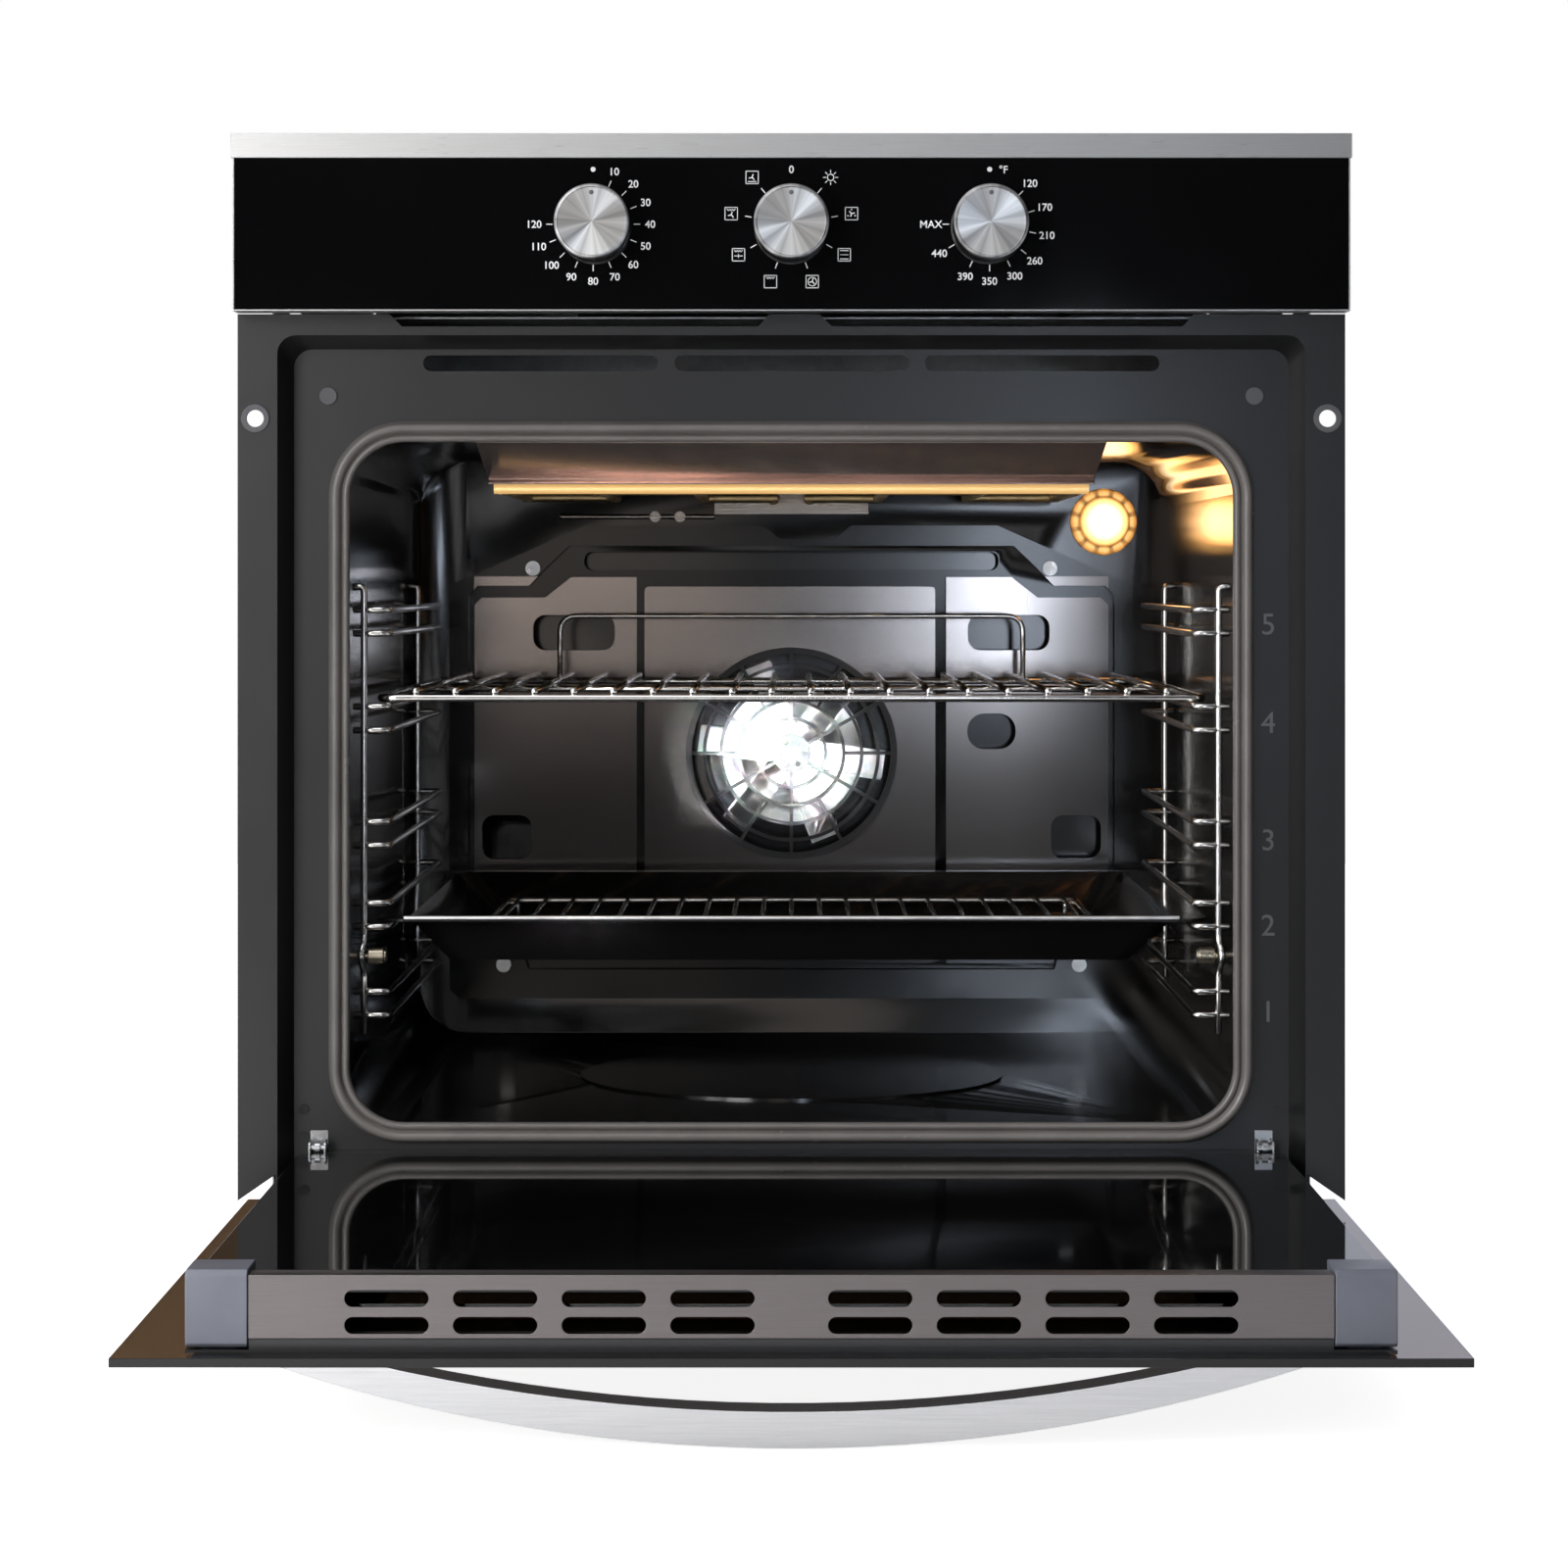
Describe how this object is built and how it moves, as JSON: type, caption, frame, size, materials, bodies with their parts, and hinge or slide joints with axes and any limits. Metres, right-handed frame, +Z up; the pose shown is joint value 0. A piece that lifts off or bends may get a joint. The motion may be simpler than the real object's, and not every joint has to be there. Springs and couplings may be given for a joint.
{
  "type": "wall oven",
  "caption": "Built-in wall oven with a drop-down glass door, rotary controls, fan cavity, wire racks and a baking tray.",
  "frame": {"origin": "middle of the base's front edge, under the plane where the front frame bears on the cabinet", "axes": "+Y into the cabinet, +Z up, +X to the right as seen from the front"},
  "size_m": [0.5966, 0.9785, 0.6232],
  "materials": {
    "front_enamel": "satin black enamel",
    "cavity_enamel": "gloss enamel",
    "cover_enamel": "gloss enamel",
    "guard_metal": "dark polished",
    "grey_plastic": "matte",
    "black_rubber": "matte",
    "gasket_rubber": "satin silicone",
    "screw_steel": "zinc plated",
    "element_tube": "oxidised steel",
    "grill_tube": "heat-tinted steel",
    "plain_steel": "satin",
    "motor_iron": "satin",
    "lamp_socket": "matte",
    "lamp_glow": "warm lit",
    "lamp_glass": "pressed glass",
    "rack_chrome": "bright",
    "nut_steel": "knurled",
    "galvanised": "galvanised sheet",
    "mineral_wool": "fibrous",
    "gland_plastic": "matte",
    "terminal_plastic": "matte",
    "dark_plastic": "matte",
    "unit_metal": "satin",
    "panel_glass": "gloss black",
    "trim_steel": "brushed",
    "knob_metal": "spun",
    "fan_metal": "bright",
    "blower_metal": "satin",
    "tray_enamel": "gloss black enamel",
    "door_glass": "tinted",
    "clear_glass": "clear",
    "inner_glass": "gloss black",
    "door_enamel": "satin",
    "door_trim": "brushed",
    "cap_plastic": "satin",
    "handle_metal": "satin",
    "hinge_steel": "zinc plated"
  },
  "bodies": {
    "oven_body": {"front_frame": "front_enamel", "front_bushes": "grey_plastic", "frame_plugs": "grey_plastic", "door_buffers": "black_rubber", "door_gasket": "gasket_rubber", "cavity_liner": "cavity_enamel", "fan_cover": "cover_enamel", "fan_guard": "guard_metal", "fan_cover_screws": "screw_steel", "ring_element": "element_tube", "fan_motor": "motor_iron", "grill_element": "grill_tube", "grill_bracket": "plain_steel", "grill_deflector": "cover_enamel", "bottom_element": "element_tube", "lamp_holder": "lamp_socket", "lamp_bulb": "lamp_glow", "lamp_cover": "lamp_glass", "thermostat_probe": "plain_steel", "side_rack_left": "rack_chrome", "side_rack_right": "rack_chrome", "side_rack_nuts": "nut_steel", "base_plate": "galvanised", "side_panels": "galvanised", "top_cover": "galvanised", "rear_cover": "galvanised", "insulation": "mineral_wool", "air_duct": "galvanised", "blower_housing": "galvanised", "blower_motor": "motor_iron", "cable_gland": "gland_plastic", "terminal_box": "terminal_plastic", "control_panel_glass": "panel_glass", "control_panel_frame": "trim_steel", "control_bracket": "galvanised", "timer_unit": "terminal_plastic", "selector_switch": "dark_plastic", "thermostat_unit": "unit_metal", "hinge_arms": "hinge_steel", "hinge_receivers": "hinge_steel"},
    "timer_knob": {"timer_knob": "knob_metal"},
    "function_knob": {"function_knob": "knob_metal"},
    "thermostat_knob": {"thermostat_knob": "knob_metal"},
    "convection_fan": {"convection_fan": "fan_metal"},
    "blower_impeller": {"blower_impeller": "blower_metal"},
    "upper_rack": {"upper_rack": "rack_chrome"},
    "baking_tray": {"baking_tray": "tray_enamel"},
    "tray_insert": {"tray_insert": "rack_chrome"},
    "door": {"door_outer_glass": "door_glass", "door_middle_glass": "clear_glass", "door_inner_glass": "inner_glass", "door_top_trim": "door_trim", "door_end_caps": "cap_plastic", "door_frame": "door_enamel", "door_handle": "handle_metal", "handle_screws": "screw_steel", "hinge_bodies": "hinge_steel", "hinge_pins": "hinge_steel", "hinge_springs": "hinge_steel"},
    "hinge_rods": {"hinge_rods": "hinge_steel"}
  },
  "joints": [
    {"name": "door_hinge", "type": "hinge", "parent": "oven_body", "child": "door", "pos_m": [0, 0.0146, 0.0499], "axis": [1, 0, 0], "range_deg": [-90, 0]},
    {"name": "timer_knob_turn", "type": "hinge", "parent": "oven_body", "child": "timer_knob", "pos_m": [-0.1055, -0.021, 0.5466], "axis": [0, 1, 0], "range_deg": [0, 270]},
    {"name": "function_knob_turn", "type": "hinge", "parent": "oven_body", "child": "function_knob", "pos_m": [0, -0.021, 0.5466], "axis": [0, 1, 0], "continuous": true},
    {"name": "thermostat_knob_turn", "type": "hinge", "parent": "oven_body", "child": "thermostat_knob", "pos_m": [0.1055, -0.021, 0.5466], "axis": [0, 1, 0], "range_deg": [0, 270]},
    {"name": "convection_fan_spin", "type": "hinge", "parent": "oven_body", "child": "convection_fan", "pos_m": [0, 0.5, 0.2448], "axis": [0, 1, 0], "continuous": true},
    {"name": "blower_spin", "type": "hinge", "parent": "oven_body", "child": "blower_impeller", "pos_m": [0, 0.372, 0.541], "axis": [1, 0, 0], "continuous": true},
    {"name": "upper_rack_slide", "type": "slide", "parent": "oven_body", "child": "upper_rack", "axis": [0, -1, 0], "range_m": [0, 0.34]},
    {"name": "tray_slide", "type": "slide", "parent": "oven_body", "child": "baking_tray", "axis": [0, -1, 0], "range_m": [0, 0.34]},
    {"name": "insert_lift", "type": "slide", "parent": "baking_tray", "child": "tray_insert", "axis": [0, 0, 1], "range_m": [0, 0.04]},
    {"name": "hinge_rod_slide", "type": "slide", "parent": "door", "child": "hinge_rods", "axis": [0, -1, 0], "range_m": [0, 0.012]}
  ],
  "couplings": [
    {"joint": "hinge_rod_slide", "follows": "door_hinge", "m_per_rad": -0.0076}
  ]
}
